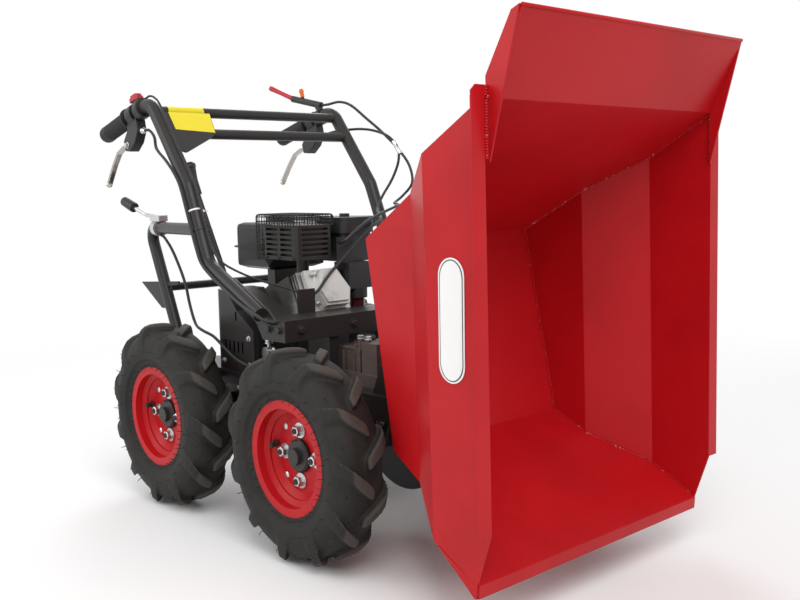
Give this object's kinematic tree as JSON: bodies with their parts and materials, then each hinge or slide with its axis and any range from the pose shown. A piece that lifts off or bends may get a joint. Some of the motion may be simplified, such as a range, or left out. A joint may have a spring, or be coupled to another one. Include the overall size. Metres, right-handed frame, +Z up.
{
  "type": "walk-behind site dumper",
  "caption": "Walk-behind wheeled site dumper with a front-tipping hopper shown tipped, an open petrol engine behind it, lug tyres and bent tube handles.",
  "frame": {"origin": "middle of the footprint's box, on the ground", "axes": "+X forward towards the skip, +Y to the machine's left, +Z up"},
  "size_m": [1.4057, 0.688, 1.0104],
  "materials": {
    "red_paint": "gloss",
    "black_paint": "satin",
    "tyre_rubber": "matt",
    "grip_rubber": "matt",
    "zinc_steel": "satin",
    "cast_metal": "rough",
    "cast_aluminium": "satin",
    "black_plastic": "matt",
    "red_plastic": "gloss"
  },
  "bodies": {
    "chassis": {"rail_right": "black_paint", "rail_left": "black_paint", "cross_members": "black_paint", "engine_tray": "black_paint", "front_deck": "black_paint", "belt_guard": "black_paint", "clutch_linkage": "zinc_steel", "gearbox": "cast_metal", "drive_case": "black_paint", "front_axle": "black_paint", "rear_axle": "black_paint", "hinge_pin": "zinc_steel", "handle_tube_right": "black_paint", "handle_tube_left": "black_paint", "upper_crossbar": "black_paint", "lower_crossbar": "black_paint", "control_plate": "black_paint", "grip_right": "grip_rubber", "grip_left": "grip_rubber", "lever_right": "zinc_steel", "lever_left": "zinc_steel", "stop_switch": "red_plastic", "switch_housing": "black_plastic", "throttle_control": "black_plastic", "gear_lever": "black_plastic", "rear_stay_right": "black_paint", "rear_stay_left": "black_paint", "rear_crossbar": "black_paint", "stay_lever": "zinc_steel", "engine_block": "cast_aluminium", "valve_cover": "cast_aluminium", "fuel_tank": "black_paint", "muffler_guard": "black_paint", "air_cleaner": "black_plastic", "carburettor": "black_plastic", "recoil_starter": "black_plastic", "throttle_cable": "black_plastic", "lever_cable_right": "black_plastic", "lever_cable_left": "black_plastic", "stop_cable": "black_plastic", "stay_cable": "black_plastic"},
    "skip": {"skip_centre": "red_paint", "skip_side_right": "red_paint", "skip_side_left": "red_paint", "skip_gussets": "red_paint", "skip_brackets": "red_paint"},
    "wheel_front_right": {"tyre_front_right": "tyre_rubber", "rim_front_right": "red_paint", "hub_front_right": "black_paint"},
    "wheel_front_left": {"tyre_front_left": "tyre_rubber", "rim_front_left": "red_paint", "hub_front_left": "black_paint"},
    "wheel_rear_right": {"tyre_rear_right": "tyre_rubber", "rim_rear_right": "red_paint", "hub_rear_right": "black_paint"},
    "wheel_rear_left": {"tyre_rear_left": "tyre_rubber", "rim_rear_left": "red_paint", "hub_rear_left": "black_paint"}
  },
  "joints": [
    {"name": "skip_tip", "type": "hinge", "parent": "chassis", "child": "skip", "pos_m": [0.21083, 0, 0.384], "axis": [0, -1, 0], "range_deg": [0, 78.8]},
    {"name": "front_right_roll", "type": "hinge", "parent": "chassis", "child": "wheel_front_right", "pos_m": [0.12783, -0.29, 0.212], "axis": [0, 1, 0], "continuous": true},
    {"name": "front_left_roll", "type": "hinge", "parent": "chassis", "child": "wheel_front_left", "pos_m": [0.12783, 0.29, 0.212], "axis": [0, 1, 0], "continuous": true},
    {"name": "rear_right_roll", "type": "hinge", "parent": "chassis", "child": "wheel_rear_right", "pos_m": [-0.38217, -0.29, 0.212], "axis": [0, 1, 0], "continuous": true},
    {"name": "rear_left_roll", "type": "hinge", "parent": "chassis", "child": "wheel_rear_left", "pos_m": [-0.38217, 0.29, 0.212], "axis": [0, 1, 0], "continuous": true}
  ]
}
